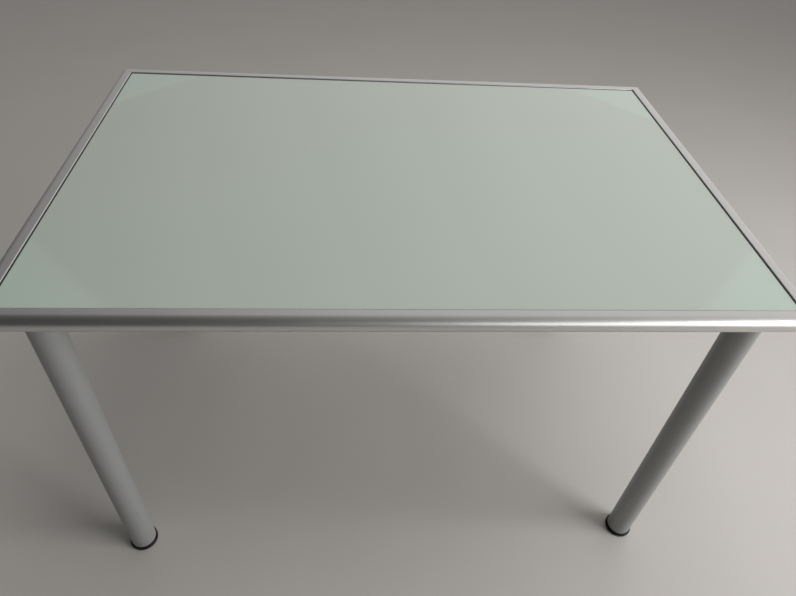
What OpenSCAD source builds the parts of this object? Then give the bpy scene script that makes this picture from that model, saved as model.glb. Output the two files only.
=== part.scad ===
// Rectangular desk: a glass worktop held in a mitred aluminium frame, on four
// round steel legs with levelling feet. Millimetres, +Z up, +X to the right
// along the long side, +Y to the back. The origin is on the floor, under the
// middle of the worktop.

/* [Worktop] */
// Outer width of the frame, along X
top_w = 1200; // [900:10:1600]
// Outer depth of the frame, along Y
top_d = 800; // [600:10:900]
// Height of the frame's top edge above the floor
desk_h = 740; // [650:5:800]
// Thickness of the glass
glass_t = 6; // [5:1:8]
// How far the glass lies below the frame's top edge
glass_recess = 2; // [1:0.5:3]

/* [Frame rails] */
// Width of the flat strip on top of a rail, before its nose begins
lip_w = 11; // [8:1:16]
// Radius of the rail's half-round nose, which is half of its height
nose_r = 14; // [13:0.5:16]
// Wall thickness of the extrusion
rail_wall = 2; // [1.5:0.5:3]
// How far the ledge under the glass reaches inwards
ledge_w = 12; // [10:1:16]
// Width of the seal strip between the glass and the rail
seal_w = 2; // [1.5:0.5:3]

/* [Legs] */
// Outer diameter of a leg tube
leg_dia = 50; // [44:2:60]
// Wall thickness of a leg tube
leg_wall = 1.5; // [1:0.5:3]
// From the frame's outer edges to a leg's axis, both ways
leg_inset = 64; // [58:1:70]
// Thickness of the steel plate that carries a leg
plate_t = 3; // [2:0.5:5]
// How far a corner plate reaches along the rails, from their inner faces
plate_reach = 140; // [130:5:170]

/* [Levelling feet] */
// Diameter of the foot pad
pad_dia = 56; // [52:1:64]
// Height of the foot pad
pad_h = 7; // [6:0.5:10]
// Nominal diameter of the foot screw's thread
screw_dia = 10; // [8:2:12]

/* [Hidden] */
$fn = 96;
corner_names = ["front_left", "front_right", "back_left", "back_right"];
// Sign of X and Y at each corner, in the order of corner_names
corner_signs = [[-1, -1], [1, -1], [-1, 1], [1, 1]];
corner_parts = ["corner_key", "corner_plate", "leg_collar", "leg_tube", "foot_insert", "foot_screw", "foot_pad"];
side_names = ["front", "back", "left", "right"];

// Colours
aluminium = [0.72, 0.72, 0.71];
leg_paint = [0.56, 0.57, 0.58];
glass_green = [0.66, 0.72, 0.68];
black_rubber = [0.06, 0.06, 0.06];
black_plastic = [0.05, 0.05, 0.055];
zinc_steel = [0.62, 0.62, 0.6];

// Rails
rail_h = 2 * nose_r;
rail_w = lip_w + nose_r;
mitre_gap = 0.05;
glass_under_z = desk_h - glass_recess - glass_t;
under_seal_t = 1;
ledge_top = -glass_recess - glass_t - under_seal_t;
seal_top = -glass_recess - 0.3;
glass_corner_r = 3;
frame_bottom = desk_h - rail_h;

// Corner keys: an L-shaped bar inside the rails' hollow
key_gap = 0.2;
key_arm = 60;
key_h = 14;
key_outer = nose_r + key_gap;
key_inner = rail_w - rail_wall - key_gap;

// Corner plates: triangles that start where the flat underside of the rails
// does, with their three tips cut off
plate_from = nose_r;
plate_sum = 2 * rail_w + plate_reach;
plate_tip = plate_sum - 44;
plate_chamfer = 8;
plate_z = frame_bottom - plate_t;

// Plate screws, four at each corner, as distances from the outer edges
screw_line = (plate_from + rail_w) / 2 - 0.5;
screw_places = [for (along = [45, plate_tip - 16]) for (p = [[along, screw_line], [screw_line, along]]) p];
screw_r = 2;
screw_head_r = 4;
screw_head_h = 2.4;
screw_len = 14;

// Leg
leg_r = leg_dia / 2;
leg_bore_r = leg_r - leg_wall;
plug_gap = 0.1;
collar_t = 3;
collar_plug = 26;
leg_bolt_r = 5;
leg_bolt_len = 24;
bolt_head_af = 17;
bolt_head_h = 6.4;
tube_top = plate_z - collar_t;

// Foot
pad_gap = 0.5;
foot_flange_t = 2;
foot_flange_z = pad_h + pad_gap;
tube_bottom = foot_flange_z + foot_flange_t;
insert_plug = 30;
insert_rib_w = 3;
screw_rr = screw_dia / 2;
thread_gap = 0.06;
hex_af = 17;
hex_r = hex_af / sqrt(3);
hex_z = pad_h + 0.3;
hex_h = 5;
hex_room = 0.8;
hex_pocket_top = hex_z + hex_h + 1.2;
screw_top = 52;
neck_r = 4;
button_r = 6.5;
button_z = [3, 5];
swivel_gap = 0.25;

function sign_of(i) = corner_signs[i];

// The children, drawn in the front left corner with distances inwards from
// the outer edges as +X and +Y, placed in corner i.
module in_corner(i) {
    s = sign_of(i);
    translate([s.x * top_w / 2, s.y * top_d / 2, 0])
        mirror([s.x > 0 ? 1 : 0, 0, 0])
            mirror([0, s.y > 0 ? 1 : 0, 0])
                children();
}

// The children, drawn around the Z axis, placed on the axis of leg i.
module at_leg(i) {
    s = sign_of(i);
    translate([s.x * (top_w / 2 - leg_inset), s.y * (top_d / 2 - leg_inset), 0])
        children();
}

// The children, drawn for the back side, turned to side i of side_names.
module on_side(i) {
    rotate([0, 0, [180, 0, 90, -90][i]])
        children();
}

function side_length(i) = i < 2 ? top_w : top_d;
function side_distance(i) = i < 2 ? top_d / 2 : top_w / 2;

// A half disc whose flat side is on the left.
module half_disc(r) {
    intersection() {
        circle(r = r);
        translate([0, -r]) square([r, 2 * r]);
    }
}

// Cross-section of a rail: X outwards from the inner face, Y up from the top.
module rail_profile() {
    difference() {
        union() {
            translate([0, -rail_h]) square([lip_w, rail_h]);
            translate([lip_w, -nose_r]) half_disc(nose_r);
            translate([-ledge_w, ledge_top - rail_wall]) square([ledge_w, rail_wall]);
        }
        translate([rail_wall, rail_wall - rail_h])
            square([lip_w - rail_wall, rail_h - 2 * rail_wall]);
        translate([lip_w, -nose_r]) half_disc(nose_r - rail_wall);
    }
}

// Cross-section of a seal: an L under the glass and beside its edge.
module seal_profile() {
    translate([-ledge_w, ledge_top]) square([ledge_w, under_seal_t]);
    translate([-seal_w, ledge_top]) square([seal_w, seal_top - ledge_top]);
}

// A profile drawn along the back side, with both ends mitred at 45 degrees.
module mitred_bar(length, distance) {
    depth = rail_w + ledge_w + 1;
    half = length / 2 - mitre_gap;
    intersection() {
        translate([-length / 2, distance - rail_w, desk_h])
            rotate([90, 0, 90])
                linear_extrude(height = length) children();
        translate([0, 0, desk_h - rail_h - 1])
            linear_extrude(height = rail_h + 2)
                polygon([
                    [-half, distance], [half, distance],
                    [half - depth, distance - depth], [depth - half, distance - depth]
                ]);
    }
}

// Screws through a corner plate: the children at each place of the corner.
module at_screws() {
    for (p = screw_places)
        translate([p.x, p.y, 0]) children();
}

module screw_holes(r) {
    for (i = [0 : 3])
        in_corner(i) at_screws()
            translate([0, 0, plate_z - 1]) cylinder(r = r, h = screw_len + 8);
}

module rail(i) {
    color(aluminium)
        difference() {
            on_side(i) mitred_bar(side_length(i), side_distance(i)) rail_profile();
            for (k = [0 : 3])
                in_corner(k) at_screws()
                    translate([0, 0, frame_bottom - 1]) cylinder(r = screw_r + 0.1, h = rail_wall + 2);
        }
}

module seal(i) {
    color(black_rubber)
        on_side(i) mitred_bar(side_length(i), side_distance(i)) seal_profile();
}

module rounded_square(w, d, r) {
    translate([r, 0]) square([w - 2 * r, d]);
    translate([0, r]) square([w, d - 2 * r]);
    for (x = [r, w - r], y = [r, d - r])
        translate([x, y]) circle(r = r);
}

module glass_panel() {
    inset = rail_w + seal_w;
    color(glass_green)
        translate([inset - top_w / 2, inset - top_d / 2, glass_under_z])
            linear_extrude(height = glass_t)
                rounded_square(top_w - 2 * inset, top_d - 2 * inset, glass_corner_r);
}

module corner_key(i) {
    w = key_inner - key_outer;
    color(zinc_steel)
        in_corner(i)
            difference() {
                translate([key_outer, key_outer, frame_bottom + rail_wall])
                    union() {
                        cube([key_arm, w, key_h]);
                        cube([w, key_arm, key_h]);
                    }
                at_screws()
                    translate([0, 0, frame_bottom]) cylinder(r = screw_r + 0.05, h = key_h + rail_wall + 1);
            }
}

module corner_plate(i) {
    color(zinc_steel)
        in_corner(i)
            difference() {
                translate([0, 0, plate_z])
                    linear_extrude(height = plate_t)
                        polygon([
                            [plate_from + plate_chamfer, plate_from], [plate_tip, plate_from],
                            [plate_tip, plate_sum - plate_tip], [plate_sum - plate_tip, plate_tip],
                            [plate_from, plate_tip], [plate_from, plate_from + plate_chamfer]
                        ]);
                at_screws()
                    translate([0, 0, plate_z - 1]) cylinder(r = screw_r + 0.3, h = plate_t + 2);
                translate([leg_inset, leg_inset, plate_z - 1])
                    cylinder(r = leg_bolt_r + 0.25, h = plate_t + 2);
            }
}

// Pan-head screws up through the plates, into the rails and the corner keys.
module plate_screws() {
    color(zinc_steel)
        for (i = [0 : 3])
            in_corner(i) at_screws()
                translate([0, 0, plate_z]) {
                    translate([0, 0, -screw_head_h]) cylinder(r = screw_head_r, h = screw_head_h);
                    cylinder(r = screw_r, h = screw_len);
                }
}

// Hexagon bolts down through the plates, into the leg collars.
module leg_bolts() {
    color(zinc_steel)
        for (i = [0 : 3])
            at_leg(i) {
                translate([0, 0, frame_bottom]) cylinder(r = bolt_head_af / sqrt(3), h = bolt_head_h, $fn = 6);
                translate([0, 0, frame_bottom - leg_bolt_len]) cylinder(r = leg_bolt_r, h = leg_bolt_len);
            }
}

// A plug with a flange that closes the upper end of a leg tube.
module leg_collar(i) {
    color(black_plastic)
        at_leg(i)
            difference() {
                union() {
                    translate([0, 0, tube_top]) cylinder(r = leg_r, h = collar_t);
                    translate([0, 0, tube_top - collar_plug]) cylinder(r = leg_bore_r - plug_gap, h = collar_plug);
                }
                translate([0, 0, tube_top - collar_plug - 1])
                    cylinder(r = leg_bolt_r + thread_gap, h = collar_plug + collar_t + 2);
            }
}

module leg_tube(i) {
    color(leg_paint)
        at_leg(i)
            difference() {
                translate([0, 0, tube_bottom]) cylinder(r = leg_r, h = tube_top - tube_bottom);
                translate([0, 0, tube_bottom - 1]) cylinder(r = leg_bore_r, h = tube_top - tube_bottom + 2);
            }
}

// A plug in the lower end of a tube: it holds the thread of the foot screw,
// and has a round pocket that the screw's hexagon goes up into.
module foot_insert(i) {
    color(black_plastic)
        at_leg(i)
            difference() {
                union() {
                    translate([0, 0, foot_flange_z]) cylinder(r = leg_r, h = foot_flange_t);
                    translate([0, 0, tube_bottom]) cylinder(r = leg_bore_r - plug_gap, h = insert_plug);
                }
                translate([0, 0, foot_flange_z - 1]) cylinder(r = screw_rr, h = insert_plug + foot_flange_t + 2);
                translate([0, 0, foot_flange_z - 1])
                    cylinder(r = hex_r + hex_room, h = hex_pocket_top - foot_flange_z + 1);
            }
}

// Thread, hexagon, neck and the button that turns inside the pad.
module foot_screw(i) {
    color(zinc_steel)
        at_leg(i) {
            translate([0, 0, hex_z + hex_h]) cylinder(r = screw_rr - thread_gap, h = screw_top - hex_z - hex_h);
            translate([0, 0, hex_z]) cylinder(r = hex_r, h = hex_h, $fn = 6);
            translate([0, 0, button_z[1]]) cylinder(r = neck_r, h = hex_z - button_z[1]);
            translate([0, 0, button_z[0]]) cylinder(r = button_r, h = button_z[1] - button_z[0]);
        }
}

// A round pad with a rounded rim and a socket for the screw's button.
module foot_pad(i) {
    rim = 2;
    r = pad_dia / 2;
    color(black_plastic)
        at_leg(i)
            difference() {
                rotate_extrude() {
                    square([r - rim, pad_h]);
                    translate([0, rim]) square([r, pad_h - 2 * rim]);
                    for (y = [rim, pad_h - rim])
                        translate([r - rim, y]) circle(r = rim);
                }
                translate([0, 0, button_z[0] - swivel_gap])
                    cylinder(r = button_r + swivel_gap, h = button_z[1] - button_z[0] + 2 * swivel_gap);
                translate([0, 0, button_z[1]]) cylinder(r = neck_r + swivel_gap, h = pad_h);
            }
}

glass_panel();
for (i = [0 : 3]) {
    rail(i);
    seal(i);
    corner_key(i);
    corner_plate(i);
    leg_collar(i);
    leg_tube(i);
    foot_insert(i);
    foot_screw(i);
    foot_pad(i);
}
plate_screws();
leg_bolts();
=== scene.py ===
# %% [markdown]
# # A desk with a satin glass top
#
# The desk is a sheet of satin glass in a mitred aluminium frame. Each corner
# has a steel plate, a round steel leg and a black levelling foot. The packed
# model gives every part its place, and this lesson adds finer shapes where
# the eye lands, then the finishes, the light and the camera.

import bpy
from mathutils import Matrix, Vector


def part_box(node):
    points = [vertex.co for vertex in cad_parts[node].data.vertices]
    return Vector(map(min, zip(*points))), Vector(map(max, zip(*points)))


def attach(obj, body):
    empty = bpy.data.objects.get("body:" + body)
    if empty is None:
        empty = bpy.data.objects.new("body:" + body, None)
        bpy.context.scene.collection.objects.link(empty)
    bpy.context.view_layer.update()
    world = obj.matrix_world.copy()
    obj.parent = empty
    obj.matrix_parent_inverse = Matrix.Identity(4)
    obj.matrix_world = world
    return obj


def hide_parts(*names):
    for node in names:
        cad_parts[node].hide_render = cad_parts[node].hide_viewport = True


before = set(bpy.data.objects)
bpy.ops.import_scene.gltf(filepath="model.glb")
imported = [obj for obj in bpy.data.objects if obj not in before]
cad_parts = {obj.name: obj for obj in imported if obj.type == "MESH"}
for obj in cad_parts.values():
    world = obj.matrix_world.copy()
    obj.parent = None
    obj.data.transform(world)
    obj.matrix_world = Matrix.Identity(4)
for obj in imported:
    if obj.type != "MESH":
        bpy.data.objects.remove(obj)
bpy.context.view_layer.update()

# %% Imports
import math

import bmesh
import bpy
from mathutils import Matrix, Vector

MM = 0.001
NEAR = 0.01 * MM
CORNERS = ("front_left", "front_right", "back_left", "back_right")
SIDES = ("front", "back", "left", "right")
BODY = "desk"

# %% [markdown]
# ## Measuring the frame
#
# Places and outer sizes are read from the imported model. What a box can't
# tell, such as the lip's width, the tube's wall or the height of a hexagon,
# is repeated here as a number. Details that the model leaves out, such as
# the width of a rounded edge, are numbers too.

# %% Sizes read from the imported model
glass_low, glass_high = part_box("glass_panel")
front_low, front_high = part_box("front_rail")
frame_top = front_high.z
frame_bottom = front_low.z
nose_radius = (frame_top - frame_bottom) / 2
outer_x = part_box("right_rail")[1].x
outer_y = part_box("back_rail")[1].y
lip_width = 11 * MM
rail_width = lip_width + nose_radius
ledge_reach = (front_high.y - front_low.y) - rail_width
print(f"frame top {frame_top:.4f}, nose radius {nose_radius:.4f}, ledge {ledge_reach:.4f}")


def middle_of(node):
    """The middle of a node's box in plan, as x and y."""
    low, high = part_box(node)
    return (low.x + high.x) / 2, (low.y + high.y) / 2


# %% [markdown]
# ## Camera
#
# The desk is seen from standing height, a little left of its middle, with
# the camera tipped well down and rolled slightly. A short lens makes the
# near edge wide and the legs lean inwards. The camera's axes are built from
# three angles: where it faces, how far it tips down and how far it rolls.

# %% Camera
camera_place = (-0.098, -0.986, frame_top + 0.593)
face, tip, roll = (math.radians(angle) for angle in (6.57, 42.90, -4.78))
forward = Vector((math.sin(face) * math.cos(tip), math.cos(face) * math.cos(tip), -math.sin(tip)))
level = Vector((math.cos(face), -math.sin(face), 0))
below = forward.cross(level)
right = level * math.cos(roll) + below * math.sin(roll)
down = below * math.cos(roll) - level * math.sin(roll)

bpy.ops.object.camera_add()
camera = bpy.context.object
camera.name = "camera"
turn = Matrix((right, -down, -forward)).transposed().to_4x4()
camera.matrix_world = Matrix.Translation(camera_place) @ turn
camera.data.sensor_width = 36
camera.data.lens = 27.7
camera.data.clip_start = 0.05
bpy.context.scene.camera = camera
bpy.context.scene.view_settings.view_transform = "Standard"

# %% [markdown]
# ## Shader maths as plain expressions
#
# A procedural finish is a sum of patterns. Wiring Math nodes by hand hides
# the sum, so this small class wraps a socket and turns each Python operator
# into the Math node that it stands for. Every other node comes from `add`,
# which sets the node's own settings first and then its sockets.


# %% The socket class
class Value:
    """An output socket that can be used in an expression."""

    def __init__(self, finish, socket):
        self.finish, self.socket = finish, socket

    def maths(self, operation, *others):
        inputs = dict(enumerate((self, *others)))
        return self.finish.add("ShaderNodeMath", {"operation": operation}, inputs)[0]

    def __add__(self, other):
        return self.maths("ADD", other)

    def __sub__(self, other):
        return self.maths("SUBTRACT", other)

    def __rsub__(self, other):
        return self.finish.number(other).maths("SUBTRACT", self)

    def __mul__(self, other):
        return self.maths("MULTIPLY", other)

    def __truediv__(self, other):
        return self.maths("DIVIDE", other)

    def __abs__(self):
        return self.maths("ABSOLUTE")

    __radd__ = __add__

    def smaller(self, other):
        return self.maths("MINIMUM", other)

    def ramp(self, low, high, to_low=0.0, to_high=1.0):
        """A smooth step from to_low at low to to_high at high."""
        settings = {"interpolation_type": "SMOOTHSTEP"}
        inputs = {0: self, 1: low, 2: high, 3: to_low, 4: to_high}
        return self.finish.add("ShaderNodeMapRange", settings, inputs)[0]


class Nodes:
    """A node tree whose new nodes give back Values."""

    def __init__(self, tree):
        self.tree = tree

    def add(self, kind, settings=None, inputs=None):
        """A node; its outputs come back by name or number."""
        node = self.tree.nodes.new(kind)
        for key, value in (settings or {}).items():
            setattr(node, key, value)
        for key, value in (inputs or {}).items():
            if isinstance(value, Value):
                self.tree.links.new(value.socket, node.inputs[key])
            else:
                node.inputs[key].default_value = value
        return Outputs(self, node)

    def number(self, value):
        return self.add("ShaderNodeMath", {"operation": "ADD"}, {0: value, 1: 0.0})[0]

    def axes(self, place):
        """X, Y and Z of a place."""
        split = self.add("ShaderNodeSeparateXYZ", None, {0: place})
        return split[0], split[1], split[2]


class Finish(Nodes):
    """A material on Object coordinates, with one Principled shader."""

    def __init__(self, name, **sockets):
        self.material = bpy.data.materials.new(name)
        self.material.use_nodes = True
        super().__init__(self.material.node_tree)
        self.shader = next(n for n in self.tree.nodes if n.type == "BSDF_PRINCIPLED")
        for key, value in sockets.items():
            self.shader.inputs[key.replace("_", " ")].default_value = value
        self.place = self.add("ShaderNodeTexCoord")["Object"]

    def stretched(self, x=1.0, y=1.0, z=1.0):
        """The surface's place, scaled along each axis."""
        inputs = {0: self.place, 1: (x, y, z)}
        return self.add("ShaderNodeVectorMath", {"operation": "MULTIPLY"}, inputs)[0]

    def noise(self, scale, detail=3.0, roughness=0.5, place=None):
        """Soft cloudy noise from 0 to 1."""
        inputs = {"Vector": place or self.place, "Scale": scale, "Detail": detail, "Roughness": roughness}
        return self.add("ShaderNodeTexNoise", None, inputs)[0]

    def mix(self, factor, first, second):
        """From one colour to another."""
        colours = {"data_type": "RGBA"}
        return self.add("ShaderNodeMix", colours, {0: factor, 6: first, 7: second})[2]

    def feed(self, **links):
        """Links values to the shader's own sockets."""
        for key, value in links.items():
            self.tree.links.new(value.socket, self.shader.inputs[key.replace("_", " ")])

    def bump(self, height, strength, distance):
        inputs = {"Height": height, "Strength": strength, "Distance": distance}
        self.feed(Normal=self.add("ShaderNodeBump", None, inputs)["Normal"])


class Outputs:
    """A node's outputs, each wrapped as a Value."""

    def __init__(self, finish, node):
        self.finish, self.node = finish, node

    def __getitem__(self, key):
        return Value(self.finish, self.node.outputs[key])


def grey(level, warmth=0.0):
    """A grey with a little red and less blue as warmth rises."""
    return (level * (1 + warmth), level, level * (1 - warmth), 1.0)


# %% [markdown]
# ## Anodised aluminium
#
# The rails are extruded, so the die leaves faint straight lines along them,
# and the anodising is satin. Reflections smear across the lines. Two rails
# run along X and two along Y, and a pattern that is stretched along the
# wrong axis would run across the rail, so there is one finish for each way.


# %% Aluminium finishes
def anodised_aluminium(name, along_x):
    finish = Finish(name, Metallic=1.0, Roughness=0.36, Base_Color=(0.62, 0.61, 0.60, 1))
    along, across = 3.0, 2600.0
    stretch = (along, across, across) if along_x else (across, along, across)
    lines = finish.noise(1.0, 2.0, 0.6, finish.stretched(*stretch))
    cloud = finish.noise(9.0, 4.0, 0.55)
    marks = finish.noise(70.0, 5.0, 0.7)
    finish.feed(
        Base_Color=finish.mix(cloud * 0.5 + lines * 0.5, (0.57, 0.565, 0.56, 1), (0.70, 0.695, 0.69, 1)),
        Roughness=0.29 + lines * 0.10 + cloud * 0.05 + marks.ramp(0.62, 0.74) * 0.06,
    )
    finish.bump(lines, 0.10, 0.00006)
    return finish.material


aluminium_x = anodised_aluminium("anodised_aluminium_long", True)
aluminium_y = anodised_aluminium("anodised_aluminium_short", False)

# %% [markdown]
# ## Satin glass
#
# The sheet is clear float glass, etched on its underside: it scatters light
# like a pale green paint, with a clear glossy face on top. A coat layer over
# a rough base gives both. The light that the corner plates close under the
# sheet bounce back through it is painted: each corner gets a painted soft pale
# triangle of light, with a painted bright band along its blurred slanting edge.

# %% Satin glass finish
glass = Finish(
    "satin_glass", Roughness=0.55, IOR=1.45,
    Coat_Weight=1.0, Coat_Roughness=0.10, Coat_IOR=1.52,
)
glass_x, glass_y, _ = glass.axes(glass.place)
corner_sum = abs(glass_x) + abs(glass_y)
plate_reach = 140 * MM
plate_line = (outer_x - rail_width) + (outer_y - rail_width) - plate_reach
# Painted light: over each corner plate the glass is painted paler and greener, standing in for light that
# the plate bounces back through the sheet.
painted_plate_light = corner_sum.ramp(plate_line - 40 * MM, plate_line + 40 * MM)
# Painted highlight: a brighter band along the slanting edge of each painted triangle of light.
painted_plate_edge_highlight = 1 - (abs(corner_sum - plate_line) / (25 * MM)).smaller(1.0)
cloudy = glass.noise(2.2, 3.0, 0.5)
etched = glass.noise(900.0, 2.0, 0.6)
body_tone = glass.mix(cloudy * 0.55 + etched * 0.12, (0.302, 0.345, 0.304, 1), (0.366, 0.404, 0.363, 1))
tone_with_painted_plate_light = glass.mix(painted_plate_light * 0.32, body_tone, (0.36, 0.49, 0.435, 1))
glass.feed(
    Base_Color=glass.mix(painted_plate_edge_highlight * 0.07, tone_with_painted_plate_light, (0.50, 0.60, 0.56, 1)),
    Roughness=0.50 + etched * 0.12,
)
glass.bump(glass.noise(14.0, 2.0, 0.4), 0.02, 0.0004)

# %% [markdown]
# ## Leg paint
#
# Silver-grey powder coat has a fine orange-peel skin and a low sheen, with
# scuffs near the floor where shoes and a vacuum cleaner meet it.

# %% Powder-coat finish
paint = Finish("silver_powder_coat", Metallic=0.35, Roughness=0.42)
peel = paint.noise(420.0, 3.0, 0.55)
flake = paint.noise(2600.0, 1.0, 0.5)
patchy = paint.noise(7.0, 4.0, 0.6)
_, _, height = paint.axes(paint.place)
streaks = paint.noise(1.0, 5.0, 0.65, paint.stretched(90.0, 90.0, 14.0))
scuff = streaks.ramp(0.60, 0.72) * height.ramp(0.30, 0.03)
silver = paint.mix(flake * 0.6 + patchy * 0.4, (0.255, 0.262, 0.262, 1), (0.355, 0.362, 0.362, 1))
paint.feed(
    Base_Color=paint.mix(scuff * 0.45, silver, (0.16, 0.155, 0.15, 1)),
    Roughness=0.36 + peel * 0.10 + scuff * 0.2,
)
paint.bump(peel + flake * 0.3, 0.16, 0.00012)

# %% [markdown]
# ## Plastic, rubber and zinc
#
# The feet and collars are moulded black plastic with a fine spark-eroded
# grain, dusty near the floor. The seal is duller and rubbery. Plates and
# screws are zinc-plated: bright, a little blotchy, with drawn lines.

# %% Black plastic, black rubber and zinc finishes
plastic = Finish("black_moulded_plastic", Roughness=0.5, Specular_IOR_Level=0.22)
grain = plastic.noise(1500.0, 3.0, 0.6)
dust = plastic.noise(55.0, 5.0, 0.65)
_, _, plastic_z = plastic.axes(plastic.place)
settled = dust.ramp(0.45, 0.75) * plastic_z.ramp(0.02, 0.0)
clean_black = plastic.mix(grain, grey(0.006), grey(0.013))
plastic.feed(
    Base_Color=plastic.mix(settled * 0.22, clean_black, grey(0.06, 0.06)),
    Roughness=0.40 + grain * 0.16 + settled * 0.2,
)
plastic.bump(grain, 0.22, 0.00010)

rubber = Finish("black_seal_rubber", Roughness=0.68, Specular_IOR_Level=0.3)
bloom = rubber.noise(130.0, 4.0, 0.6)
rubber.feed(Base_Color=rubber.mix(bloom, grey(0.012), grey(0.034, 0.02)), Roughness=0.58 + bloom * 0.2)
rubber.bump(rubber.noise(700.0, 2.0, 0.5), 0.15, 0.0001)

zinc = Finish("zinc_plated_steel", Metallic=1.0, Roughness=0.34)
drawn = zinc.noise(1.0, 2.0, 0.6, zinc.stretched(40.0, 1800.0, 1800.0))
blotch = zinc.noise(34.0, 4.0, 0.6)
zinc.feed(
    Base_Color=zinc.mix(blotch, (0.50, 0.51, 0.52, 1), (0.70, 0.70, 0.68, 1)),
    Roughness=0.24 + blotch * 0.16 + drawn * 0.08,
)
zinc.bump(drawn, 0.08, 0.00005)

# %% [markdown]
# ## Helpers for modelling
#
# Operators act on all that is selected, so each piece begins with nothing
# selected. In edit mode, faces and edges are picked in code by where they
# are. A finished piece is named, smoothed, given its finish and told which
# body it rides on, and the imported nodes that it stands for are hidden. Its
# normals lean to its large flat faces, so a narrow rounded edge shades as one.


# %% Helpers
SHARP = math.radians(35)
SMOOTH = math.radians(30)


def start():
    """Nothing selected, in object mode."""
    if bpy.context.object and bpy.context.object.mode != "OBJECT":
        bpy.ops.object.mode_set(mode="OBJECT")
    bpy.ops.object.select_all(action="DESELECT")


def pick(kind, test):
    """Selects only the verts, edges or faces that pass the test, given each and its middle."""
    bpy.ops.mesh.select_mode(type={"verts": "VERT", "edges": "EDGE", "faces": "FACE"}[kind])
    bpy.ops.mesh.select_all(action="DESELECT")
    mesh = bmesh.from_edit_mesh(bpy.context.object.data)
    for item in getattr(mesh, kind):
        if kind == "verts":
            middle = item.co
        elif kind == "edges":
            middle = (item.verts[0].co + item.verts[1].co) / 2
        else:
            middle = item.calc_center_median()
        if test(item, middle):
            item.select_set(True)
    mesh.select_flush_mode()
    bmesh.update_edit_mesh(bpy.context.object.data)


def cut(point, normal, fill=True):
    """Cuts the whole mesh with a plane and drops what lies ahead of it."""
    bpy.ops.mesh.select_all(action="SELECT")
    bpy.ops.mesh.bisect(plane_co=point, plane_no=normal, use_fill=fill, clear_outer=True)


def soften(width):
    """Rounds every sharp edge of the active object."""
    modifier = bpy.context.object.modifiers.new("soft_edges", "BEVEL")
    modifier.width, modifier.segments = width, 2
    modifier.limit_method, modifier.angle_limit = "ANGLE", SHARP
    bpy.ops.object.modifier_apply(modifier=modifier.name)


def tidy_shell():
    """Merges doubles and turns every face outwards, in edit mode."""
    bpy.ops.mesh.select_all(action="SELECT")
    bpy.ops.mesh.remove_doubles(threshold=NEAR)
    bpy.ops.mesh.normals_make_consistent(inside=False)


def finish_piece(name, material, replaced, body=BODY):
    """Names, smooths and places the active object."""
    piece = bpy.context.object
    piece.name = piece.data.name = name
    bpy.ops.object.transform_apply(location=True, rotation=True, scale=True)
    bpy.ops.object.shade_smooth_by_angle(angle=SMOOTH)
    modifier = piece.modifiers.new("flat_faces_lead", "WEIGHTED_NORMAL")
    modifier.keep_sharp = True
    bpy.ops.object.modifier_apply(modifier=modifier.name)
    piece.data.materials.clear()
    piece.data.materials.append(material)
    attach(piece, body)
    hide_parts(*replaced)
    print(f"{name}: {len(piece.data.polygons)} faces")


# %% [markdown]
# ## Rails
#
# A rail is one constant outline pulled to length and mitred. The outline
# starts as a disc for the rounded nose, cut in half. The cut edge is
# extruded to make the flat lip, and a narrow strip of the inner edge is
# extruded again to make the ledge that carries the glass. The whole outline
# is then extruded along the rail. The long edges are rounded while the ends
# are still square, widest on the lip beside the glass, which catches the
# light. A slanting cut at each end then leaves a crisp mitre.


# %% Rails
LIP_ROUND = 1.3 * MM
EDGE_ROUND = 0.3 * MM
MITRE_GAP = 0.05 * MM
BEDDING = 1 * MM
LEDGE_THICKNESS = 2 * MM


def rail(side, turn, length, distance, material):
    """One rail, drawn along X for the back side and then turned."""
    start()
    nose_y = distance - nose_radius
    inner_y = distance - rail_width
    half = length / 2
    bpy.ops.mesh.primitive_circle_add(
        vertices=72, radius=nose_radius, fill_type="NGON", rotation=(0, math.pi / 2, 0),
        location=(-half, nose_y, frame_top - nose_radius),
    )
    bpy.ops.object.transform_apply(location=True, rotation=True, scale=True)
    bpy.ops.object.mode_set(mode="EDIT")
    cut((0, nose_y, 0), (0, -1, 0), fill=False)
    pick("edges", lambda edge, at: abs(at.y - nose_y) < NEAR and edge.is_boundary)
    bpy.ops.mesh.extrude_region_move(TRANSFORM_OT_translate={"value": (0, inner_y - nose_y, 0)})
    ledge_top = glass_low.z - BEDDING
    ledge_low = ledge_top - LEDGE_THICKNESS
    for level in (ledge_top, ledge_low):
        bpy.ops.mesh.select_all(action="SELECT")
        bpy.ops.mesh.bisect(plane_co=(0, 0, level), plane_no=(0, 0, 1))
    pick("edges", lambda edge, at: abs(at.y - inner_y) < NEAR and ledge_low < at.z < ledge_top)
    bpy.ops.mesh.extrude_region_move(TRANSFORM_OT_translate={"value": (0, -ledge_reach, 0)})
    bpy.ops.mesh.select_all(action="SELECT")
    bpy.ops.mesh.extrude_region_move(TRANSFORM_OT_translate={"value": (length, 0, 0)})
    tidy_shell()
    bpy.ops.mesh.select_all(action="SELECT")
    bpy.ops.mesh.dissolve_limited(angle_limit=math.radians(0.5))

    def long_and_sharp(edge):
        one, other = edge.verts
        return abs(one.co.x - other.co.x) > half and edge.calc_face_angle(0) > SHARP

    pick("edges", lambda edge, at: long_and_sharp(edge) and at.z > frame_top - 0.1 * MM)
    bpy.ops.mesh.bevel(offset=LIP_ROUND, segments=4, affect="EDGES")
    pick("edges", lambda edge, at: long_and_sharp(edge) and at.z < frame_top - 1 * MM)
    bpy.ops.mesh.bevel(offset=EDGE_ROUND, segments=2, affect="EDGES")
    for end in (-1, 1):
        cut((end * (half - MITRE_GAP), distance, 0), (end, -1, 0))
    tidy_shell()
    bpy.ops.object.mode_set(mode="OBJECT")
    bpy.context.object.rotation_euler.z = turn
    finish_piece(f"{side}_rail_extrusion", material, [f"{side}_rail"])


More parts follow.
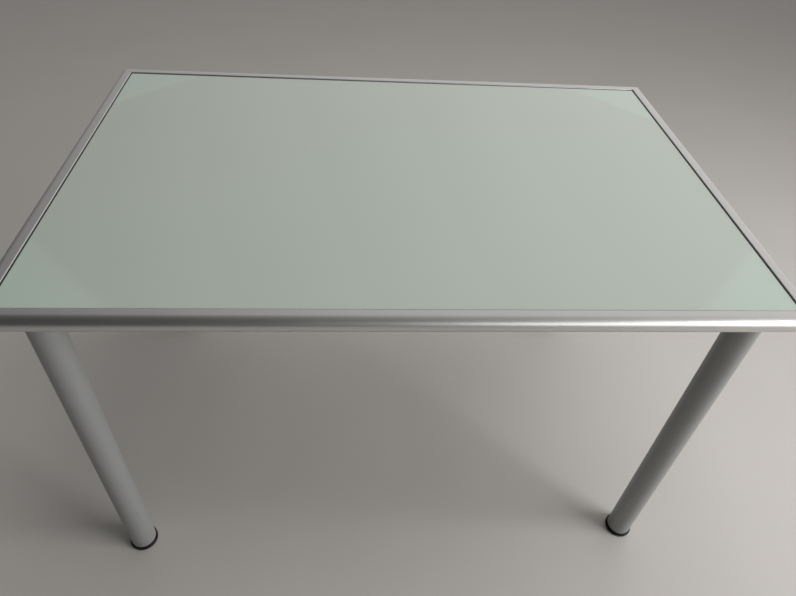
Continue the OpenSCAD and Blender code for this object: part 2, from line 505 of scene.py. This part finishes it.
rail("back", 0, 2 * outer_x, outer_y, aluminium_x)
rail("front", math.pi, 2 * outer_x, outer_y, aluminium_x)
rail("left", math.pi / 2, 2 * outer_y, outer_x, aluminium_y)
rail("right", -math.pi / 2, 2 * outer_y, outer_x, aluminium_y)

# %% [markdown]
# ## Glass sheet
#
# The sheet is a box with rounded corners and a ground bevel, called an
# arris, round its edges. The corner edges are bevelled first and widely,
# then the rims of both faces finely.

# %% Glass sheet
GLASS_CORNER = 3 * MM
ARRIS = 0.8 * MM

start()
glass_size = glass_high - glass_low
glass_middle = (glass_high + glass_low) / 2
bpy.ops.mesh.primitive_cube_add(size=1, location=glass_middle, scale=glass_size)
bpy.ops.object.transform_apply(location=True, rotation=True, scale=True)
bpy.ops.object.mode_set(mode="EDIT")
pick("edges", lambda edge, at: abs(edge.verts[0].co.z - edge.verts[1].co.z) > glass_size.z / 2)
bpy.ops.mesh.bevel(offset=GLASS_CORNER, segments=6, affect="EDGES")
pick("edges", lambda edge, at: abs(abs(at.z - glass_middle.z) - glass_size.z / 2) < NEAR)
bpy.ops.mesh.bevel(offset=ARRIS, segments=2, affect="EDGES")
tidy_shell()
bpy.ops.object.mode_set(mode="OBJECT")
finish_piece("satin_glass_sheet", glass.material, ["glass_panel"])

# %% [markdown]
# ## Softened copies
#
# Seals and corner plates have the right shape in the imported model, but
# their edges are perfectly sharp. A copy is merged, its flat faces are
# joined, and its sharp edges are rounded a little.


# %% Softened copies of plain nodes
def softened(node, name, width, material):
    start()
    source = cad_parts[node]
    source.select_set(True)
    bpy.context.view_layer.objects.active = source
    bpy.ops.object.duplicate()
    bpy.ops.object.mode_set(mode="EDIT")
    bpy.ops.mesh.select_all(action="SELECT")
    bpy.ops.mesh.remove_doubles(threshold=0.005 * MM)
    bpy.ops.mesh.dissolve_limited(angle_limit=math.radians(1))
    bpy.ops.object.mode_set(mode="OBJECT")
    soften(width)
    finish_piece(name, material, [node])


for side in SIDES:
    softened(f"{side}_seal", f"{side}_seal_strip", 0.25 * MM, rubber.material)
for corner in CORNERS:
    softened(f"{corner}_corner_plate", f"{corner}_pressed_plate", 0.5 * MM, zinc.material)

# %% [markdown]
# ## Turned pieces
#
# Legs, collars, inserts and pads are all round, so each is one outline
# spun about the leg's axis. The outline is drawn as a chain: a plane is
# merged to a single point, and each extrude of that point adds one edge.
# The chain starts and ends on the axis, or for a ring ends where it began,
# so the spin closes the shape.


# %% Turned pieces
def chain(outline, middle=(0, 0)):
    """A chain of edges through (radius, height) points, left in edit mode."""
    start()
    radius, height = outline[0]
    bpy.ops.mesh.primitive_plane_add(size=1 * MM, location=(middle[0] + radius, middle[1], height))
    bpy.ops.object.transform_apply(location=True, rotation=True, scale=True)
    bpy.ops.object.mode_set(mode="EDIT")
    bpy.ops.mesh.select_mode(type="VERT")
    bpy.ops.mesh.select_all(action="SELECT")
    bpy.ops.mesh.merge(type="CENTER")
    for to_radius, to_height in outline[1:]:
        step = (to_radius - radius, 0, to_height - height)
        bpy.ops.mesh.extrude_vertices_move(TRANSFORM_OT_translate={"value": step})
        radius, height = to_radius, to_height


def turned(outline, centre, steps=96):
    """Spins an outline of (radius, height) points about a vertical axis."""
    chain(outline, centre)
    bpy.ops.mesh.select_all(action="SELECT")
    bpy.ops.mesh.spin(steps=steps, angle=2 * math.pi, center=(centre[0], centre[1], 0), axis=(0, 0, 1))
    tidy_shell()
    bpy.ops.object.mode_set(mode="OBJECT")


def rounded(radius, height, size, top, outward=True, points=4):
    """Points of a quarter-round rim, from its side to its flat face or back."""
    centre = height - size if top else height + size
    rise = size if top else -size
    arc = []
    for i in range(points + 1):
        angle = math.pi / 2 * i / points
        arc.append((radius - size + size * math.cos(angle), centre + rise * math.sin(angle)))
    return arc if outward else arc[::-1]


# %% [markdown]
# ## Leg tubes
#
# A tube is a long turned ring. Its ends are saw-cut and deburred, so each
# rim has a small rounded edge, which shows as a fine line where the black
# plastic meets the paint.

# %% Leg tubes
leg_wall = 1.5 * MM
for corner in CORNERS:
    low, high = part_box(f"{corner}_leg_tube")
    radius, rim = (high.x - low.x) / 2, 0.4 * MM
    bore = radius - leg_wall
    outline = (
        [(bore, low.z + 0.2 * MM), (bore + 0.2 * MM, low.z)]
        + rounded(radius, low.z, rim, False, outward=False)
        + rounded(radius, high.z, rim, True)
        + [(bore + 0.2 * MM, high.z), (bore, high.z - 0.2 * MM), (bore, low.z + 0.2 * MM)]
    )
    turned(outline, middle_of(f"{corner}_leg_tube"), steps=128)
    finish_piece(f"{corner}_painted_leg", paint.material, [f"{corner}_leg_tube"])

# %% [markdown]
# ## Collars and foot inserts
#
# A collar is a plug with a thin flange, and a shallow groove under the
# flange. The insert at the foot is the same turned the other way, with a
# round pocket that hides the levelling screw's hexagon.

# %% Collars
plug_gap = 0.1 * MM
for corner in CORNERS:
    low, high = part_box(f"{corner}_leg_collar")
    radius, flange = (high.x - low.x) / 2, high.z - 3 * MM
    plug = radius - leg_wall - plug_gap
    hole, groove = 5.06 * MM, 0.4 * MM
    outline = (
        [(hole, low.z), (plug - 1 * MM, low.z), (plug, low.z + 2 * MM), (plug, flange)]
        + [(radius - 0.3 * MM, flange), (radius, flange + 0.3 * MM), (radius, flange + 1.1 * MM)]
        + [(radius - groove, flange + 1.3 * MM), (radius, flange + 1.5 * MM)]
        + rounded(radius, high.z, 0.6 * MM, True)
        + [(hole, high.z), (hole, low.z)]
    )
    turned(outline, middle_of(f"{corner}_leg_collar"))
    finish_piece(f"{corner}_moulded_collar", plastic.material, [f"{corner}_leg_collar"])

# %% Foot inserts
for corner in CORNERS:
    low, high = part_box(f"{corner}_foot_insert")
    radius, flange_top = (high.x - low.x) / 2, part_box(f"{corner}_leg_tube")[0].z
    plug = radius - leg_wall - plug_gap
    pocket, pocket_top, thread = 10.6 * MM, 13.5 * MM, 5 * MM
    outline = (
        [(thread, high.z), (thread, pocket_top), (pocket, pocket_top), (pocket, low.z + 0.3 * MM)]
        + [(pocket + 0.3 * MM, low.z)]
        + rounded(radius, low.z, 0.6 * MM, False, outward=False)
        + [(radius, flange_top - 0.2 * MM), (radius - 0.2 * MM, flange_top), (plug, flange_top)]
        + [(plug, high.z - 2 * MM), (plug - 1 * MM, high.z), (thread, high.z)]
    )
    turned(outline, middle_of(f"{corner}_foot_insert"))
    finish_piece(f"{corner}_moulded_insert", plastic.material, [f"{corner}_foot_insert"])

# %% [markdown]
# ## Foot pads
#
# A pad is a low disc, a little wider than the leg, with a full rounded rim
# and a shallow ring on top. It turns freely on the button of its screw, so
# the outline runs down the neck, round the socket and out again below. The
# underside has a shallow recess, and only its outer ring touches the floor.

# %% Foot pads
for corner in CORNERS:
    low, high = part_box(f"{corner}_foot_pad")
    radius, top = (high.x - low.x) / 2, high.z
    neck, socket, groove = 4.25 * MM, 6.75 * MM, 0.4 * MM
    socket_low, socket_high, recess = 2.75 * MM, 5.25 * MM, 0.5 * MM
    outline = (
        [(0, socket_low), (socket, socket_low), (socket, socket_high), (neck, socket_high)]
        + [(neck, top - 0.3 * MM), (neck + 0.3 * MM, top), (radius - 6 * MM, top)]
        + [(radius - 5.6 * MM, top - groove), (radius - 4.4 * MM, top - groove), (radius - 4 * MM, top)]
        + rounded(radius, top, 2 * MM, True, outward=False, points=6)
        + rounded(radius, low.z, 2 * MM, False, points=6)
        + [(radius - 8 * MM, low.z), (radius - 8.4 * MM, low.z + recess), (0, low.z + recess)]
    )
    turned(outline, middle_of(f"{corner}_foot_pad"))
    finish_piece(
        f"{corner}_moulded_pad", plastic.material, [f"{corner}_foot_pad"],
        body=f"{corner}_pad",
    )

# %% [markdown]
# ## Levelling screws
#
# When a foot is wound out, its thread shows, so it is a real helix. The
# Screw modifier sweeps one pitch of the thread's outline upwards, turn
# after turn, and two level cuts close the ends. The hexagon above the pad
# is a six-sided cylinder, trimmed by a shallow turned cone as on a real
# nut, and the neck and button below are turned.

# %% Levelling screws
pitch, crest, root = 1.5 * MM, 4.94 * MM, 4.1 * MM
OVERLAP = 0.2 * MM


def threaded_rod(centre, bottom, top):
    """A closed rod with a helical thread."""
    tooth = ((root, 0), (crest, 0.40), (crest, 0.52), (root, 0.92), (root, 1))
    chain([(radius, bottom + (share - 2) * pitch) for radius, share in tooth])
    bpy.ops.object.mode_set(mode="OBJECT")
    rod = bpy.context.object
    modifier = rod.modifiers.new("thread", "SCREW")
    modifier.screw_offset, modifier.iterations = pitch, math.ceil((top - bottom) / pitch) + 3
    modifier.steps = modifier.render_steps = 32
    modifier.use_merge_vertices, modifier.merge_threshold = True, 0.002 * MM
    bpy.ops.object.modifier_apply(modifier=modifier.name)
    bpy.ops.object.mode_set(mode="EDIT")
    cut((0, 0, top), (0, 0, 1))
    cut((0, 0, bottom), (0, 0, -1))
    tidy_shell()
    bpy.ops.object.mode_set(mode="OBJECT")
    rod.location = (centre[0], centre[1], 0)
    bpy.ops.object.transform_apply(location=True, rotation=True, scale=True)
    return rod


for corner in CORNERS:
    low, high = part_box(f"{corner}_foot_screw")
    centre = middle_of(f"{corner}_foot_screw")
    hex_bottom, hex_top, hex_radius = 7.3 * MM, 12.3 * MM, (high.x - low.x) / 2
    button_radius, button_top, bevel, neck = 6.5 * MM, 5 * MM, 0.3 * MM, 4 * MM
    rod = threaded_rod(centre, hex_top - OVERLAP, high.z)
    turned(
        [(0, low.z), (button_radius - bevel, low.z), (button_radius, low.z + bevel)]
        + [(button_radius, button_top - bevel), (button_radius - bevel, button_top), (neck, button_top)]
        + [(neck, hex_bottom + OVERLAP), (0, hex_bottom + OVERLAP)],
        centre, steps=64,
    )
    button = bpy.context.object
    start()
    bpy.ops.mesh.primitive_cylinder_add(
        vertices=6, radius=hex_radius, depth=hex_top - hex_bottom, rotation=(0, 0, math.pi / 6),
        location=(centre[0], centre[1], (hex_top + hex_bottom) / 2),
    )
    bpy.ops.object.transform_apply(location=True, rotation=True, scale=True)
    hexagon = bpy.context.object
    bite, far, face_radius = 1.1 * MM, 12 * MM, hex_radius - 1.3 * MM
    turned(
        [(0, hex_bottom), (face_radius, hex_bottom), (far, hex_bottom + bite)]
        + [(far, hex_top - bite), (face_radius, hex_top), (0, hex_top)],
        centre, steps=64,
    )
    cone = bpy.context.object
    modifier = hexagon.modifiers.new("nut_corners", "BOOLEAN")
    modifier.operation, modifier.solver, modifier.object = "INTERSECT", "EXACT", cone
    bpy.context.view_layer.objects.active = hexagon
    bpy.ops.object.modifier_apply(modifier=modifier.name)
    bpy.data.objects.remove(cone)
    start()
    for part in (rod, button, hexagon):
        part.select_set(True)
    bpy.context.view_layer.objects.active = rod
    bpy.ops.object.join()
    finish_piece(
        f"{corner}_levelling_screw", zinc.material, [f"{corner}_foot_screw"],
        body=f"{corner}_screw",
    )

# %% [markdown]
# ## Plate screws
#
# Sixteen pan-head screws hold the plates. One is modelled: a turned dome on
# a short shank, with a cross cut by two tapered bars. It is then copied to
# every hole, and all the copies become one piece.

# %% Plate screws
plate_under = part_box("front_left_corner_plate")[0].z
head_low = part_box("plate_screws")[0].z
head_radius = 4 * MM
shank_radius, shank_top = 2 * MM, plate_under + 14 * MM
head_side, dome_height = 0.6 * MM, 1.8 * MM
dome = [
    (head_radius * math.cos(angle), plate_under - head_side - dome_height * math.sin(angle))
    for angle in (1.4, 1.15, 0.8, 0.4, 0)
]
turned(
    [(0, head_low)] + dome + [(head_radius, plate_under), (shank_radius, plate_under)]
    + [(shank_radius, shank_top - 1 * MM), (1.2 * MM, shank_top), (0, shank_top)],
    (0, 0), steps=48,
)
screw = bpy.context.object
for turn in (0, math.pi / 2):
    start()
    bar_size = (4.2 * MM, 0.9 * MM, 2.4 * MM)
    bpy.ops.mesh.primitive_cube_add(size=1, location=(0, 0, head_low), scale=bar_size)
    bar = bpy.context.object
    bpy.ops.object.mode_set(mode="EDIT")
    pick("faces", lambda face, at: at.z > 0.4)
    bpy.ops.transform.resize(value=(0.35, 0.6, 1))
    bpy.ops.object.mode_set(mode="OBJECT")
    bar.rotation_euler.z = turn
    modifier = screw.modifiers.new("cross", "BOOLEAN")
    modifier.operation, modifier.solver, modifier.object = "DIFFERENCE", "EXACT", bar
    bpy.context.view_layer.objects.active = screw
    bpy.ops.object.modifier_apply(modifier=modifier.name)
    bpy.data.objects.remove(bar)

screw_low, screw_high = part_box("plate_screws")
line_x, line_y = screw_high.x - head_radius, screw_high.y - head_radius
along = (45 * MM, 130 * MM)
screws = []
for x_sign in (-1, 1):
    for y_sign in (-1, 1):
        for reach in along:
            for x, y in ((line_x, outer_y - reach), (outer_x - reach, line_y)):
                start()
                screw.select_set(True)
                bpy.context.view_layer.objects.active = screw
                bpy.ops.object.duplicate()
                copy = bpy.context.object
                copy.rotation_euler.z = 7.0 * x + 11.0 * y * y_sign  # no two crosses line up
                copy.location = (x_sign * x, y_sign * y, 0)
                screws.append(copy)
bpy.data.objects.remove(screw)
start()
for copy in screws:
    copy.select_set(True)
bpy.context.view_layer.objects.active = screws[0]
bpy.ops.object.join()
finish_piece("pan_head_screws", zinc.material, ["plate_screws"])

# %% [markdown]
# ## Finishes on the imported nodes
#
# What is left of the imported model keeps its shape: the corner keys inside
# the rails, and the bolts whose heads lie between plate and glass.

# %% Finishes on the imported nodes
for node in [f"{corner}_corner_key" for corner in CORNERS] + ["leg_bolts"]:
    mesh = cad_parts[node].data
    mesh.materials.clear()
    mesh.materials.append(zinc.material)

# %% [markdown]
# ## Floor and light
#
# A plain pale floor takes the soft shadows. The main light is a tall window
# to the right, a little in front of the desk, so the left leg is lit on its
# right side and the right leg shows only a bright rim. A second window, far
# off to the front, lights nothing matt: it is there to be mirrored as a
# streak along the front rail. A broad soft light above lifts the worktop.
# The world is a smooth glow that grows to the right and to the back, so the
# glass and the flat lips mirror a gradient without an edge.

# %% Floor
start()
bpy.ops.mesh.primitive_plane_add(size=24, location=(0, 0, -0.0002))
floor = bpy.context.object
floor.name = "floor"
floor_finish = Finish("pale_floor", Roughness=0.9)
clouds = floor_finish.noise(3.0, 3.0, 0.5)
floor_tone = floor_finish.mix(clouds, (0.425, 0.408, 0.392, 1), (0.455, 0.438, 0.422, 1))
floor_finish.feed(Base_Color=floor_tone)
floor.data.materials.append(floor_finish.material)


# %% Light
def area_light(name, place, target, size, power, colour, mirrored=True, lights_matt=True):
    start()
    bpy.ops.object.light_add(type="AREA", location=place)
    light = bpy.context.object
    light.name = name
    light.data.shape = "RECTANGLE"
    light.data.size, light.data.size_y = size
    light.data.energy = power
    light.data.color = colour
    light.visible_glossy, light.visible_diffuse = mirrored, lights_matt
    light.rotation_euler = (Vector(target) - Vector(place)).to_track_quat("-Z", "Y").to_euler()
    return light


day = (1.0, 0.99, 0.97)
cool_day = (1.0, 0.99, 0.98)
warm = (1.0, 0.985, 0.97)
area_light("window", (3.0, -1.4, 1.7), (0, 0, 0.55), (2.0, 1.9), 98, day)
area_light("far_window", (1.8, -3.2, 1.9), (0.3, 0, 0.6), (2.0, 2.0), 20, cool_day, lights_matt=False)
area_light("ceiling", (0.7, 0.1, 2.6), (0.2, 0, 0.7), (2.0, 2.0), 31, warm, mirrored=False)

# %% World
world = bpy.data.worlds.new("studio")
world.use_nodes = True
bpy.context.scene.world = world
sky = Nodes(world.node_tree)
towards_x, towards_y, towards_z = sky.axes(sky.add("ShaderNodeTexCoord")["Generated"])
side_glow = (towards_x * 0.85 + towards_y * 0.55 - towards_z * 0.25).ramp(-0.75, 1.10)
background = next(n for n in sky.tree.nodes if n.type == "BACKGROUND")
strength = side_glow * 0.90 + 0.05
sky.tree.links.new(strength.socket, background.inputs["Strength"])
background.inputs["Color"].default_value = (1.0, 0.98, 0.96, 1)
